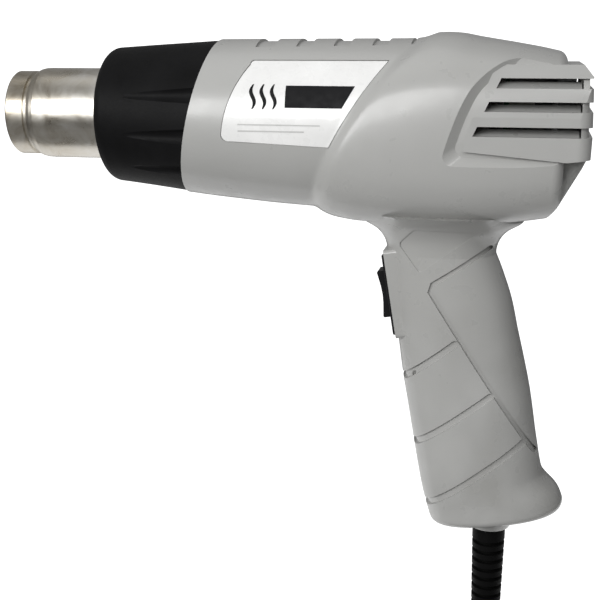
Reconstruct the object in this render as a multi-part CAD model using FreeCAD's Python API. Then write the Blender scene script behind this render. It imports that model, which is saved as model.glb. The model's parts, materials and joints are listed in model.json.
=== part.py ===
"""Hand-held electric heat gun: two moulded shells, a steel nozzle, the heater,
the fan motor, a rocker switch and a mains cord.

Units are millimetres.  +Z is up, the nozzle points along -X, and the two
shells meet on the plane Y = 0.  The origin is the middle of the grip.
Inside this file a place on the tool is counted from the nozzle's mouth (x)
and from the barrel's axis (z); place() turns that into the tool's frame.
Each sub-part is written to parts/NAME.step.
"""
import FreeCAD
import Part
import math
import os

V = FreeCAD.Vector
X_AXIS = V(1, 0, 0)
Y_AXIS = V(0, 1, 0)
Z_AXIS = V(0, 0, 1)

# ---- driving dimensions ---------------------------------------------------
TIP = -185.0             # X of the nozzle's mouth
AXIS = 100.0             # Z of the barrel's axis
WALL = 2.4               # wall of the moulded shells
FAR = 60.0               # reach of a cutting tool across the body
TOUCH = 0.05             # play between parts that are fitted by hand

MOUTH_RADIUS = 17.0      # outside of the nozzle's mouth, the size accessories fit
TUBE_RADIUS = 18.3       # outside of the nozzle's tube
TUBE_WALL = 0.8
TUBE_END = 92.0          # the tube's flanged end, inside the body
TUBE_RIB = TUBE_END - 4.0  # front of the rib that the flange sits behind
FLANGE_RADIUS = 21.6
COLLAR_START = 41.0      # collar's front face
JOINT_X = 81.0           # plane between collar and body, where it crosses the axis
JOINT_LEAN = 0.225       # that plane leans back as it rises
BODY_END = 221.2
SECTION_POINTS = 28      # points round each lofted section
SECTION_STEP = 3.6       # spacing of the lofted sections
BOW_HEIGHT = 30.0        # height over which a section's bow is measured

# Stations of the body: x, lean (dx/dz), bow, top, bottom, half width, squareness.
BODY_STATIONS = [
    (JOINT_X, JOINT_LEAN, 0.0, 29.9, -31.2, 30.4, 2.0),
    (92.0, 0.27, 0.5, 30.0, -32.2, 30.8, 2.05),
    (108.0, 0.36, 1.6, 30.1, -33.4, 31.1, 2.1),
    (124.0, 0.50, 3.2, 30.2, -34.4, 31.3, 2.15),
    (137.5, 0.62, 4.6, 30.3, -35.0, 31.5, 2.2),
    (141.3, 0.64, 5.0, 30.5, -35.2, 31.6, 2.2),
    (145.2, 0.63, 4.8, 31.6, -36.6, 33.6, 2.35),
    (149.5, 0.58, 4.2, 32.5, -38.4, 34.6, 2.5),
    (158.0, 0.46, 3.0, 32.7, -39.8, 35.3, 2.7),
    (170.0, 0.31, 1.8, 32.4, -40.2, 35.8, 2.9),
    (184.0, 0.16, 0.8, 31.0, -40.0, 36.0, 3.1),
    (198.0, 0.05, 0.2, 29.4, -38.6, 35.9, 3.2),
    (210.0, 0.0, 0.0, 27.6, -37.0, 35.5, 3.2),
    (BODY_END, 0.0, 0.0, 25.2, -35.0, 34.6, 3.2),
]
BODY_END_ROUND = 4.0
POCKET_DEPTH = 0.9       # of the cells on top of the barrel

# Stations of the collar, in the same terms.
COLLAR_STATIONS = [
    (COLLAR_START, 0.0, 0.0, 26.3, -26.9, 26.6, 2.0),
    (55.0, 0.06, 0.0, 27.4, -28.2, 27.8, 2.0),
    (JOINT_X, JOINT_LEAN, 0.0, 29.4, -30.7, 29.9, 2.0),
]
COLLAR_ROUND = 4.5
FLUTE_START = 58.0
FLUTE_ANGLES = (18.0, -12.5, -43.0)

# Stations of the handle: height, tilt (dz/dx), front, rear, half thickness, squareness.
HANDLE_STATIONS = [
    (-52.0, 0.0, 155.0, 198.0, 17.0, 2.3),
    (-60.0, 0.02, 156.3, 201.1, 17.4, 2.35),
    (-72.0, 0.05, 158.2, 205.0, 17.9, 2.4),
    (-85.0, 0.08, 160.2, 207.9, 18.2, 2.4),
    (-98.0, 0.12, 162.2, 210.9, 18.4, 2.4),
    (-111.0, 0.15, 164.7, 213.7, 18.4, 2.4),
    (-134.0, 0.20, 169.0, 217.5, 18.4, 2.4),
    (-146.5, 0.22, 171.6, 220.2, 18.4, 2.35),
    (-153.6, 0.22, 173.6, 226.2, 18.4, 2.3),
    (-157.4, 0.21, 174.7, 228.6, 18.2, 2.3),
    (-161.6, 0.19, 175.9, 228.4, 17.8, 2.3),
]
HANDLE_ROUND = 3.6
GROOVE_DEPTH = 1.0
PANEL_DEPTH = 0.35
NECK_RADIUS = 12.0       # flare of the neck to the front and rear
NECK_SIDE_RADIUS = 16.5  # and sideways
NECK_HEIGHT = 17.0
NECK_STEPS = 8
FLARE_LIMIT = 0.985      # part of its radius that a flare rises before it is cut off

# Vents: x of each slot's lower front corner and height of its middle.
SLOTS = [(196.6, 14.9), (192.8, 6.8), (188.9, -2.0)]
SLOT_HEIGHT = 3.5
LOUVRE_DEPTH = 6.0       # reach of the blade behind each slot
LOUVRE_RISE = 2.1        # how far the blade climbs above the slot's lower edge
SLOT_END = 226.5
REAR_SLOT_HALF = 24.0
BLOCK_TOP = 21.3
BLOCK_END = 230.6

# Housing screws: x and z of each.
SCREWS = [(94.2, -26.2), (150.0, -34.6), (172.0, 25.4), (209.0, -28.0),
          (168.8, -100.0), (206.0, -112.0), (181.0, -155.0)]
SCREW_RADIUS = 1.45
HEAD_RADIUS = 2.8
HEAD_HEIGHT = 2.0
HEAD_SEAT = 9.0          # y of the seat under each screw's head
SCREW_TIP = -12.0
BOSS_RADIUS = 4.2

SWITCH_X = 157.6         # middle of the switch's face
SWITCH_Z = -69.4
SWITCH_LEAN = 9.4        # degrees
WINDOW_HALF = 10.8       # half height of the opening the rocker turns in
ROCKER_HALF = 9.6
ROCKER_WIDTH = 8.8
PIVOT_DEPTH = 3.0
PIVOT_RADIUS = 1.2
RUNNING = 0.05           # radial clearance of a pivot or shaft

HEATER_START = 14.0      # mica former, inside the nozzle
HEATER_END = 78.0
COIL_RADIUS = 12.6       # of the wire at the former's edges
COIL_BEND = 4.0          # radius of its bends there
COIL_WIRE = 0.5
COIL_PITCH = 3.6
COIL_TURNS = 8
DUCT_RADIUS = 27.2       # outside of the duct round the fan
DUCT_END = 152.0
FAN_START = 123.0
FAN_END = 140.0
FAN_RADIUS = 24.6
FAN_BLADES = 9
SHAFT_RADIUS = 1.6
MOTOR_START = 151.0
MOTOR_END = 187.0
MOTOR_RADIUS = 17.5
BOARD_X = 199.0

CORD_RADIUS = 3.5
CORD_X = 199.7           # the cord leaves the handle here, straight down
SEAT_Z = -160.2          # seat of the strain relief's flange
BOSS_END = -167.1        # lower end of the boss round the strain relief
CLAMP_Z = -148.0
CLAMP_HEIGHT = 8.0
CLAMP_SCREWS = (190.5, 209.0)
BLOCK_Z = -128.0         # lower face of the terminal block
BLOCK_HEIGHT = 12.0
WIRE_RADIUS = 1.1
RELIEF_END = -208.0      # free end of the strain relief
RELIEF_RIB_STEP = 4.0
RELIEF_FLANGE = 9.2      # radius of the strain relief's flange
FLANGE_THICKNESS = 2.5

# The cord hangs straight down, is put away in a tied hank, and ends in its plug.
LEAD_ROUTE = [(CORD_X, 0, RELIEF_END), (CORD_X, 0, -229), (200.2, -1.85, -249)]
HANK_TOP = -249.0
HANK_LENGTH = 138.0
TAIL_ROUTE = [(CORD_X, 1.85, -387), (200.6, 1.0, -401), (199.9, 0, -418)]
HANK_WAIST = (18.4, 12.2)  # half width and half thickness where the tie holds it
PLUG_LENGTH = 44.0


# ---- helpers ----------------------------------------------------------------
def place(x, y, z):
    """Point at x from the mouth, y across and z from the barrel's axis."""
    return V(TIP + x, y, AXIS + z)


def superellipse(power, count=SECTION_POINTS):
    """Unit closed curve as (along, up) pairs; power 2 is a circle."""
    pairs = []
    for i in range(count):
        angle = 2 * math.pi * i / count
        along = math.copysign(abs(math.cos(angle)) ** (2 / power), math.cos(angle))
        up = math.copysign(abs(math.sin(angle)) ** (2 / power), math.sin(angle))
        pairs.append((along, up))
    return pairs


def eased(xs, ys, x):
    """Smooth curve through (xs, ys) that never overshoots its points."""
    last = len(xs) - 1
    slopes = [(ys[i + 1] - ys[i]) / (xs[i + 1] - xs[i]) for i in range(last)]
    tangents = [slopes[0]]
    for before, after in zip(slopes, slopes[1:]):
        same_way = before * after > 0
        tangents.append(2 * before * after / (before + after) if same_way else 0.0)
    tangents.append(slopes[-1])
    i = next(i for i in range(last) if i == last - 1 or x <= xs[i + 1])
    gap = xs[i + 1] - xs[i]
    t = min(max((x - xs[i]) / gap, 0.0), 1.0)
    return ((1 + 2 * t) * (1 - t) ** 2 * ys[i] + t * (1 - t) ** 2 * gap * tangents[i]
            + t * t * (3 - 2 * t) * ys[i + 1] + t * t * (t - 1) * gap * tangents[i + 1])


def spaced(stations, step):
    """The stations' values at evenly spaced places from the first to the last."""
    first = stations[0][0]
    length = stations[-1][0] - first
    order = stations if length > 0 else stations[::-1]
    xs = [s[0] for s in order]
    count = max(2, round(abs(length) / step))
    rows = []
    for i in range(count + 1):
        x = first + length * i / count
        values = [eased(xs, [s[k] for s in order], x) for k in range(1, len(order[0]))]
        rows.append((x, *values))
    return rows


def closed_curve(points):
    """Smooth closed wire; its evenly spaced parameters keep a loft's surface light."""
    curve = Part.BSplineCurve()
    curve.interpolate(Points=points, PeriodicFlag=True, Parameters=list(range(len(points) + 1)))
    return Part.Wire([curve.toShape()])


def loft(wires):
    return Part.makeLoft(wires, True, False)


def cylinder(start, axis, radius, length):
    return Part.makeCylinder(radius, length, start, axis)


def block(x0, x1, y0, y1, z0, z1):
    """Box between two x, two y and two z."""
    return Part.makeBox(x1 - x0, y1 - y0, z1 - z0, place(x0, y0, z0))


def turned(profile, centre=(0.0, 0.0), axis=X_AXIS):
    """Solid turned from (distance along, radius) corners about an axis."""
    x, z = centre
    if axis == X_AXIS:
        points = [place(a, 0, r) for a, r in profile]
    else:
        points = [place(x + r, 0, a) for a, r in profile]
    face = Part.Face(Part.makePolygon(points + points[:1]))
    return face.revolve(place(x, 0, z), axis, 360)


def barrel_ring(x0, x1, outer, inner):
    return turned([(x0, inner), (x1, inner), (x1, outer), (x0, outer)])


def rounded_outline(corners):
    """Closed flat wire at Y = 0 from (x, z, corner radius) triples."""
    cuts = []
    for i, (x, z, radius) in enumerate(corners):
        corner = place(x, 0, z)
        x_next, z_next, _ = corners[(i + 1) % len(corners)]
        back = (place(corners[i - 1][0], 0, corners[i - 1][1]) - corner).normalize()
        ahead = (place(x_next, 0, z_next) - corner).normalize()
        half = back.getAngle(ahead) / 2
        reach = radius / math.tan(half)
        bulge = radius / math.sin(half) - radius
        middle = (back + ahead).normalize()
        cuts.append((corner + back * reach, corner + middle * bulge, corner + ahead * reach))
    edges = []
    for i, (entry, middle, leave) in enumerate(cuts):
        if corners[i][2]:
            edges.append(Part.Arc(entry, middle, leave).toShape())
        edges.append(Part.makeLine(leave, cuts[(i + 1) % len(cuts)][0]))
    return Part.Wire(edges)


def slab(wire, y0, y1):
    """Flat outline thickened from y0 to y1."""
    face = Part.Face(wire)
    face.translate(V(0, y0, 0))
    return face.extrude(V(0, y1 - y0, 0))


def mirrored(shape):
    return shape.mirror(V(0, 0, 0), Y_AXIS)


def pair(shape):
    """The shape and its mirror image across Y = 0."""
    return [shape, mirrored(shape)]


def pipe(points, radius, bend):
    """Round wire along straight runs joined by arcs of one radius."""
    edges = []
    start = points[0]
    for before, corner, after in zip(points, points[1:], points[2:]):
        back = (before - corner).normalize()
        ahead = (after - corner).normalize()
        half = back.getAngle(ahead) / 2
        entry = corner + back * (bend / math.tan(half))
        leave = corner + ahead * (bend / math.tan(half))
        middle = corner + (back + ahead).normalize() * (bend / math.sin(half) - bend)
        edges.append(Part.makeLine(start, entry))
        edges.append(Part.Arc(entry, middle, leave).toShape())
        start = leave
    edges.append(Part.makeLine(start, points[-1]))
    section = Part.Wire([Part.makeCircle(radius, points[0], points[1] - points[0])])
    return Part.Wire(edges).makePipeShell([section], True, False)


def cord_tube(points, radius):
    """Cord along straight runs, each corner as wide an arc as its runs allow."""
    edges = []
    start = points[0]
    radii = []
    for before, corner, after in zip(points, points[1:], points[2:]):
        back = before - corner
        ahead = after - corner
        reach = 0.45 * min(back.Length, ahead.Length)
        half = back.getAngle(ahead) / 2
        bend = reach * math.tan(half)
        radii.append(bend)
        back.normalize()
        ahead.normalize()
        entry = corner + back * reach
        leave = corner + ahead * reach
        middle = corner + (back + ahead).normalize() * (bend / math.sin(half) - bend)
        edges.append(Part.makeLine(start, entry))
        edges.append(Part.Arc(entry, middle, leave).toShape())
        start = leave
    edges.append(Part.makeLine(start, points[-1]))
    path = Part.Wire(edges)
    section = Part.Wire([Part.makeCircle(radius, points[0], points[1] - points[0])])
    tube = path.makePipeShell([section], True, False)
    exact = math.pi * radius ** 2 * path.Length
    print("cord radii", [round(r) for r in radii], "length", round(path.Length, 1),
          "volume ratio", round(tube.Volume / exact, 4))
    return tube


# ---- outer form ---------------------------------------------------------------
def body_section(station, inset):
    x, lean, bow, top, bottom, half_width, power = station
    middle = (top + bottom) / 2
    half_height = (top - bottom) / 2 - inset
    points = []
    for across, up in superellipse(power):
        z = middle + half_height * up
        forward = lean * z + bow * (z / BOW_HEIGHT) ** 2
        points.append(place(x + forward, (half_width - inset) * across, z))
    return closed_curve(points)


def body_form(inset=0.0):
    """Barrel and rear body, every surface moved inward by the inset."""
    stations = list(BODY_STATIONS)
    stations[-1] = (BODY_END - inset, *stations[-1][1:])
    form = loft([body_section(s, inset) for s in spaced(stations, SECTION_STEP)])
    rear = [e for e in form.Edges if e.BoundBox.XMin > TIP + BODY_END - inset - 0.1]
    return form.makeFillet(max(BODY_END_ROUND - inset, 1.0), rear)


def collar_form(inset=0.0):
    stations = list(COLLAR_STATIONS)
    stations[0] = (COLLAR_START + inset, *stations[0][1:])
    form = loft([body_section(s, inset) for s in spaced(stations, SECTION_STEP)])
    front = [e for e in form.Edges if e.BoundBox.XMax < TIP + COLLAR_START + inset + 0.1]
    return form.makeFillet(max(COLLAR_ROUND - inset, 1.0), front)


def handle_section(station, grow):
    height, tilt, front, rear, thickness, power = station
    half = (rear - front) / 2 + grow
    middle = (rear + front) / 2
    points = []
    for across, along in superellipse(power):
        z = height + tilt * half * along
        points.append(place(middle + half * along, (thickness + grow) * across, z))
    return closed_curve(points)


def handle_form(inset=0.0):
    """Handle and its flared neck, up to inside the body."""
    stations = list(HANDLE_STATIONS)
    stations[-1] = (stations[-1][0] + inset, *stations[-1][1:])
    grip = loft([handle_section(s, -inset) for s in spaced(stations, SECTION_STEP)])
    foot = [e for e in grip.Edges if e.BoundBox.ZMax < AXIS + stations[-1][0] + 15]
    grip = grip.makeFillet(max(HANDLE_ROUND - inset, 1.0), foot)
    flare = []
    for i in range(NECK_STEPS + 1):
        rise = NECK_HEIGHT * i / NECK_STEPS
        flare.append(neck_section(stations[0], rise, inset))
    return grip.fuse(loft(flare))


def flare_growth(rise, radius):
    """How far a flare of this radius stands out at a height above its start."""
    return radius - math.sqrt(radius ** 2 - min(rise, radius * FLARE_LIMIT) ** 2)


def neck_section(station, rise, inset):
    """Section of the neck: it flares more to the front and rear than sideways."""
    height, tilt, front, rear, thickness, power = station
    half = (rear - front) / 2 - inset + flare_growth(rise, NECK_RADIUS + inset)
    wide = thickness - inset + flare_growth(rise, NECK_SIDE_RADIUS + inset)
    middle = (rear + front) / 2
    return closed_curve([place(middle + half * along, wide * across, height + rise)
                         for across, along in superellipse(power)])


def on_switch(shape):
    """Move a shape from the switch's own frame to its place in the handle.

    In its own frame the switch faces -X, its face is X = 0 and its middle
    is the origin.
    """
    moved = shape.copy()
    moved.rotate(V(0, 0, 0), Y_AXIS, -SWITCH_LEAN)
    moved.translate(place(SWITCH_X, 0, SWITCH_Z))
    return moved


def switch_pad():
    """Flat raised pad that the switch is set in."""
    pad = Part.makeBox(11, 24, 36, V(0, -12.0, -17.2))
    upright = [e for e in pad.Edges if e.BoundBox.YLength < 0.1 and e.BoundBox.XLength > 10]
    return on_switch(pad.makeFillet(1.5, upright))


def vent_block(inset=0.0):
    """Block that carries the air vents and stands out at the rear."""
    side = rounded_outline([
        (179.0, BLOCK_TOP - inset, 0), (226.6, BLOCK_TOP - inset, 0),
        (229.9 - inset, 17.2 - inset / 2, 0), (BLOCK_END - inset, -3.5, 0),
        (230.3 - inset, -11.5 + inset / 2, 0), (222.0, -12.4 + inset, 0),
        (179.0, -8.6 + inset, 0)])
    form = slab(side, -FAR, FAR)
    plan = Part.makeBox(BLOCK_END - inset - 179, 70.4 - 2 * inset, 80,
                        place(179, inset - 35.2, -40))
    corners = [e for e in plan.Edges
               if e.BoundBox.ZLength > 79 and e.BoundBox.XMin > TIP + 200]
    plan = plan.makeFillet(5.0 - inset / 2, corners)
    station = (179.0, 0.0, 0.0, 28.0, -38.8, 35.4, 3.2)
    section = Part.Face(body_section(station, inset)).extrude(V(60, 0, 0))
    return form.common(plan).common(section)


def vent_front():
    """Everything behind the slanted front edge of the vent block."""
    outline = rounded_outline([
        (198.6, 40.0, 0), (195.6, 19.6, 8.0), (185.6, -5.0, 3.0),
        (187.4, -30.0, 0), (260.0, -30.0, 0), (260.0, 40.0, 0)])
    return slab(outline, -FAR, FAR)


def rear_wedge():
    """Sloping support under the vent block, in the middle of the rear face."""
    outline = rounded_outline([
        (214.0, -9.0, 0), (230.2, -9.0, 0), (230.0, -11.2, 0), (228.0, -15.6, 0),
        (220.4, -29.4, 0), (214.0, -29.4, 0)])
    wedge = slab(outline, -24, 24)
    edges = [e for e in wedge.Edges if e.BoundBox.YLength < 0.1
             and e.BoundBox.XMax > TIP + 221 and e.BoundBox.XMin > TIP + 219]
    return wedge.makeFillet(2.0, edges)


def rear_chamfer():
    """Cutter for the sloping lower edge of the body's rear."""
    outline = rounded_outline([
        (222.6, -24.5, 0), (219.8, -29.6, 4.0), (214.2, -38.0, 0), (214.2, -50.0, 0),
        (240.0, -50.0, 0), (240.0, -24.5, 0)])
    return slab(outline, -FAR, FAR)


def recess_outline(y, front, top, bottom, top_round, bottom_round):
    """Recess around the vent block: its outline on the plane at y."""
    lean = 0.322
    wire = rounded_outline([
        (front + lean * top, top, top_round), (front + lean * bottom, bottom, bottom_round),
        (260.0, bottom - 1.0, 0), (260.0, top - 1.0, 0)])
    wire.translate(V(0, y, 0))
    return wire


def vent_recess():
    """Cutter with sloping walls for the recess on the left side."""
    outer = recess_outline(-42.0, 172.6, 47.0, -23.6, 9.0, 4.0)
    inner = recess_outline(-27.0, 195.6, 24.6, -1.9, 7.0, 3.0)
    return Part.makeLoft([outer, inner], True, True)


def recess_backing():
    """Wall behind the recess, which the recess would else leave too thin."""
    outline = recess_outline(0.0, 172.6, 34.0, -18.0, 9.0, 4.0)
    wall = slab(outline, -FAR, 0).common(body_form(WALL - 0.1))
    return wall.cut(body_form(2 * WALL - 0.6))


def slot_cutters():
    cutters = []
    for front, height in SLOTS:
        low = height - SLOT_HEIGHT / 2
        high = height + SLOT_HEIGHT / 2
        side = rounded_outline([
            (front, low, 0), (SLOT_END, low, 0), (SLOT_END, high, 0),
            (front + 0.45 * SLOT_HEIGHT, high, 0)])
        cutters.append(slab(side, -FAR, FAR))
        cutters.append(block(SLOT_END - 6, 240, -REAR_SLOT_HALF, REAR_SLOT_HALF, low, high))
        wrap = block(SLOT_END - 1, 240, -FAR, FAR, low, high)
        cutters.append(wrap.cut(vent_block(1.3)))
    return cutters


def louvres():
    """Blades on the left that climb inward from the slots' lower edges and hide the inside."""
    wall_y = -35.2 + WALL
    blades = []
    for front, height in SLOTS:
        low = height - SLOT_HEIGHT / 2
        corners = [(wall_y - 0.8, low - 1.4), (wall_y - 0.8, low - 0.2),
                   (wall_y + LOUVRE_DEPTH, low + LOUVRE_RISE), (wall_y + LOUVRE_DEPTH, low + LOUVRE_RISE - 1.2)]
        points = [place(front - 1.0, y, z) for y, z in corners]
        face = Part.Face(Part.makePolygon(points + points[:1]))
        blades.append(face.extrude(V(SLOT_END - front + 0.5, 0, 0)))
    return blades


def label_outline(shrink=0.0):
    """Name-plate outline: curved front and rear edges, straight top and bottom."""
    s = shrink
    top_front = place(105.6 + s, 0, 22.3 - s)
    top_rear = place(157.2 - 1.6 * s, 0, 22.4 - s)
    low_rear = place(136.4 - s, 0, -9.4 + s)
    low_front = place(98.0 + s, 0, -7.8 + s)
    front_low = place(94.7 + s, 0, -4.6 + s)
    front_top = place(104.4 + s, 0, 20.8 - s)
    return Part.Wire([
        Part.makeLine(top_front, top_rear),
        Part.Arc(top_rear, place(144.6 - s, 0, 4.9), low_rear).toShape(),
        Part.makeLine(low_rear, low_front),
        Part.Arc(low_front, place(95.5 + s, 0, -7.1 + s), front_low).toShape(),
        Part.Arc(front_low, place(98.1 + s, 0, 9.0), front_top).toShape(),
        Part.Arc(front_top, place(104.8 + s, 0, 21.9 - s), top_front).toShape()])


def groove(points, width):
    """Cutter for a groove along (x, z) points, on the left side."""
    solids = []
    for (x0, z0), (x1, z1) in zip(points, points[1:]):
        run = place(x1, 0, z1) - place(x0, 0, z0)
        bar = Part.makeBox(run.Length, FAR, width, V(0, -FAR, -width / 2))
        bar.rotate(V(0, 0, 0), Y_AXIS, -math.degrees(math.atan2(run.z, run.x)))
        bar.translate(place(x0, 0, z0))
        solids.append(bar)
        solids.append(cylinder(place(x0, -FAR, z0), Y_AXIS, width / 2, FAR))
    last_x, last_z = points[-1]
    solids.append(cylinder(place(last_x, -FAR, last_z), Y_AXIS, width / 2, FAR))
    return solids[0].multiFuse(solids[1:])


def grip_grooves():
    """Curved outline of the rear grip and three finger grooves, left side."""
    outline = groove([(196.0, -48.2), (174.8, -62.2), (173.9, -65.4),
                      (191.0, -91.4), (213.2, -125.2), (216.6, -130.6)], 1.8)
    cuts = [outline]
    for x0, z0, x1, z1 in ((184.2, -85.4, 163.6, -102.2),
                           (198.4, -106.2, 168.6, -129.9),
                           (212.2, -125.4, 173.6, -156.6)):
        cuts.append(groove([(x0, z0), (x1, z1)], 2.8))
    return cuts[0].multiFuse(cuts[1:])


def grip_panel():
    """Cutter for a shallow five-cornered panel at the top of the handle, left side."""
    outline = rounded_outline([
        (167.2, -40.6, 3.0), (189.5, -40.8, 1.0), (190.6, -42.2, 1.0), (169.6, -58.2, 1.5),
        (160.8, -47.4, 2.0)])
    return slab(outline, -FAR, -8)


def relief_boss():
    """Short cone on the handle's foot round the strain relief."""
    top = SEAT_Z + 3.5
    return turned([(top, 0), (top, 11.6), (BOSS_END + 5.0, 11.2), (BOSS_END, 8.4), (BOSS_END, 0)],
                  (CORD_X, 0), Z_AXIS)


def top_pocket():
    """Cutter for the shallow cells on top of the barrel, with ribs left between them."""
    pocket = block(104.3, 165.6, -13.8, 13.8, 20, 40).cut(body_form(POCKET_DEPTH))
    ribs = [block(start, start + 8.6, -FAR, FAR, 20, 40) for start in (111.7, 126.2, 140.9, 155.4)]
    return pocket.cut(ribs)


def left_half(form):
    return form.common(block(0, 260, -FAR, 0, -240, 60))


def outer_left():
    """Left half of the moulding as a solid block with all its outer detail."""
    recess = vent_recess().cut(left_half(body_form(2.3)))
    form = left_half(body_form()).cut([recess, rear_chamfer()]).fuse(left_half(handle_form()))
    vents = vent_block().common(vent_front())
    form = form.multiFuse([left_half(s) for s in (vents, rear_wedge(), switch_pad(), relief_boss())])
    label_bed = slab(label_outline(), -FAR, 0).cut(left_half(body_form(0.5)))
    grooves = grip_grooves().cut(handle_form(GROOVE_DEPTH))
    panel = grip_panel().cut(handle_form(PANEL_DEPTH))
    return form.cut([label_bed, grooves, panel, left_half(top_pocket())])


def cavity_left():
    """Hollow inside the left half."""
    body = left_half(body_form(WALL))
    return body.multiFuse([left_half(handle_form(WALL)), left_half(vent_block(WALL))])


def inside_left():
    """Ribs, screw bosses and seats inside the left half."""
    ribs = [barrel_ring(TUBE_RIB, TUBE_RIB + 2.8, 40, TUBE_RADIUS + 0.2)]
    for x in (117.0, 135.0, 148.0):
        ribs.append(barrel_ring(x, x + 2.0, 40, DUCT_RADIUS + TOUCH))
    wire_way = block(112, 152, -6, 6, -30.6, -20)
    ribs = [r.cut(wire_way) for r in ribs]
    ribs.append(recess_backing())
    for x, z in SCREWS:
        ribs.append(cylinder(place(x, -FAR, z), Y_AXIS, BOSS_RADIUS, FAR))
    ribs.append(cylinder(place(CORD_X, 0, BOSS_END), Z_AXIS, 11.0, SEAT_Z - BOSS_END))
    above_flange = SEAT_Z + FLANGE_THICKNESS + 0.1
    retainer = block(180, 213, -FAR, 0, BOSS_END - 3.0, above_flange + 2.0)
    ribs.append(retainer.cut(cylinder(place(CORD_X, 0, SEAT_Z), Z_AXIS, 7.4, 10)))
    return [left_half(r) for r in ribs]


def blank_shell(outer):
    """Left shell before its openings and screw holes."""
    hollow = outer.cut(cavity_left())
    return hollow.multiFuse([r.common(outer) for r in inside_left()])


def shells():
    """Left shell, with the cord's cradle and the pilot holes, and right shell."""
    relief_hole = cylinder(place(CORD_X, 0, BOSS_END - 5), Z_AXIS, 6.9, 14)
    relief_seat = cylinder(place(CORD_X, 0, SEAT_Z), Z_AXIS, RELIEF_FLANGE + 0.3, FLANGE_THICKNESS + TOUCH)
    switch_hole = on_switch(Part.makeBox(24, 11.6, 27.4, V(-2, -5.8, -13.7)))
    bezel_room = on_switch(Part.makeBox(5, 15.2, 33.2, V(-5, -7.6, -16.6)))
    outer = outer_left()
    blank = blank_shell(outer).cut([*slot_cutters(), relief_hole, relief_seat,
                                    switch_hole, bezel_room])
    blank = blank.multiFuse([blade.common(outer) for blade in louvres()])
    right = mirrored(blank)
    cradle = block(186, 213, -15.6, 0, CLAMP_Z, CLAMP_Z + CLAMP_HEIGHT)
    tray = block(184, 204, -15.6, -12.6, BLOCK_Z - 1, BLOCK_Z + BLOCK_HEIGHT + 1)
    left = blank.multiFuse([cradle.common(outer), tray.common(outer)])
    left = left.cut(cylinder(place(CORD_X, 0, CLAMP_Z - 1), Z_AXIS, CORD_RADIUS, 12))
    for x, z in SCREWS:
        pilot = cylinder(place(x, SCREW_TIP - 1, z), Y_AXIS, SCREW_RADIUS + TOUCH, -SCREW_TIP + 1)
        left = left.cut(pilot)
        through = cylinder(place(x, 0, z), Y_AXIS, SCREW_RADIUS + 0.2, HEAD_SEAT)
        sink = cylinder(place(x, HEAD_SEAT, z), Y_AXIS, HEAD_RADIUS + 0.3, FAR)
        right = right.cut(through.fuse(sink))
    for x in CLAMP_SCREWS:
        left = left.cut(cylinder(place(x, -9, CLAMP_Z + CLAMP_HEIGHT / 2), Y_AXIS,
                                 SCREW_RADIUS + TOUCH, 9))
    return {"left_shell": left, "right_shell": right}


def screw(x, z, seat, tip):
    """Pan-head screw along Y with a cross recess; its head's seat is at y = seat."""
    shank = cylinder(place(x, tip, z), Y_AXIS, SCREW_RADIUS, seat - tip)
    head = cylinder(place(x, seat, z), Y_AXIS, HEAD_RADIUS, HEAD_HEIGHT)
    head = head.makeFillet(0.8, [e for e in head.Edges if e.BoundBox.YMin > seat + HEAD_HEIGHT - 0.1])
    top = seat + HEAD_HEIGHT
    slot = block(x - 1.7, x + 1.7, top - 1.2, top + 1, z - 0.35, z + 0.35)
    cross = block(x - 0.35, x + 0.35, top - 1.2, top + 1, z - 1.7, z + 1.7)
    return shank.fuse(head).cut([slot, cross])


def label_plate():
    plate = slab(label_outline(0.3), -FAR, 0)
    return plate.common(left_half(body_form(0.05))).cut(left_half(body_form(0.5)))


# ---- nozzle and heater ----------------------------------------------------------
def nose_collar():
    """Collar round the nozzle, with three tapering finger flutes on each side."""
    outer = collar_form()
    flutes = []
    for angle in FLUTE_ANGLES:
        flute = Part.makeCone(2.2, 4.1, 34, place(FLUTE_START - 3, 0, 0), X_AXIS)
        flute.translate(V(0, -29.9, 0))
        flute.rotate(place(FLUTE_START - 3, -27.0, 0), Z_AXIS, -4.0)
        flute.rotate(place(0, 0, -0.6), X_AXIS, -angle)
        flutes.extend(pair(flute))
    outer = outer.cut(flutes)
    hollow = collar_form(WALL)
    mouth = cylinder(place(COLLAR_START - 1, 0, 0), X_AXIS, TUBE_RADIUS + 0.6, 10)
    collar = outer.cut([hollow, mouth])
    return collar.fuse(collar_spigot())


def collar_spigot():
    """Ring at the collar's back that sits inside the shells."""
    lean = JOINT_LEAN * 40
    outline = rounded_outline([
        (JOINT_X - lean, -40.0, 0), (JOINT_X + 5.0 - lean, -40.0, 0),
        (JOINT_X + 5.0 + lean, 40.0, 0), (JOINT_X + lean, 40.0, 0)])
    wall = body_form(WALL + TOUCH).cut(body_form(WALL + 1.8))
    room = block(JOINT_X - 20, TUBE_RIB - 0.4, -FAR, FAR, -FAR, FAR)
    return wall.common(slab(outline, -FAR, FAR)).common(room)


def nozzle_tube():
    """Stepped steel tube: rolled mouth, groove, shoulder, tube and end flange."""
    mouth = MOUTH_RADIUS
    steps = [(7.4, mouth), (7.8, mouth - 0.7), (8.8, mouth - 0.7), (9.4, mouth + 0.1),
             (10.8, TUBE_RADIUS - 0.5), (12.4, TUBE_RADIUS - 0.1), (14.6, TUBE_RADIUS)]
    outer = [(0.0, mouth - 0.5), (0.6, mouth), *steps, (TUBE_END - 1.0, TUBE_RADIUS),
             (TUBE_END - 1.0, FLANGE_RADIUS), (TUBE_END, FLANGE_RADIUS)]
    inner = [(along, radius - TUBE_WALL) for along, radius in reversed(steps)]
    return turned([*outer, (TUBE_END, TUBE_RADIUS - TUBE_WALL), *inner, (0.0, mouth - TUBE_WALL)])


def mica_sleeve():
    outer = TUBE_RADIUS - TUBE_WALL - TOUCH
    return barrel_ring(HEATER_START + 1.0, HEATER_END + 1.0, outer, outer - 0.6)


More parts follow.
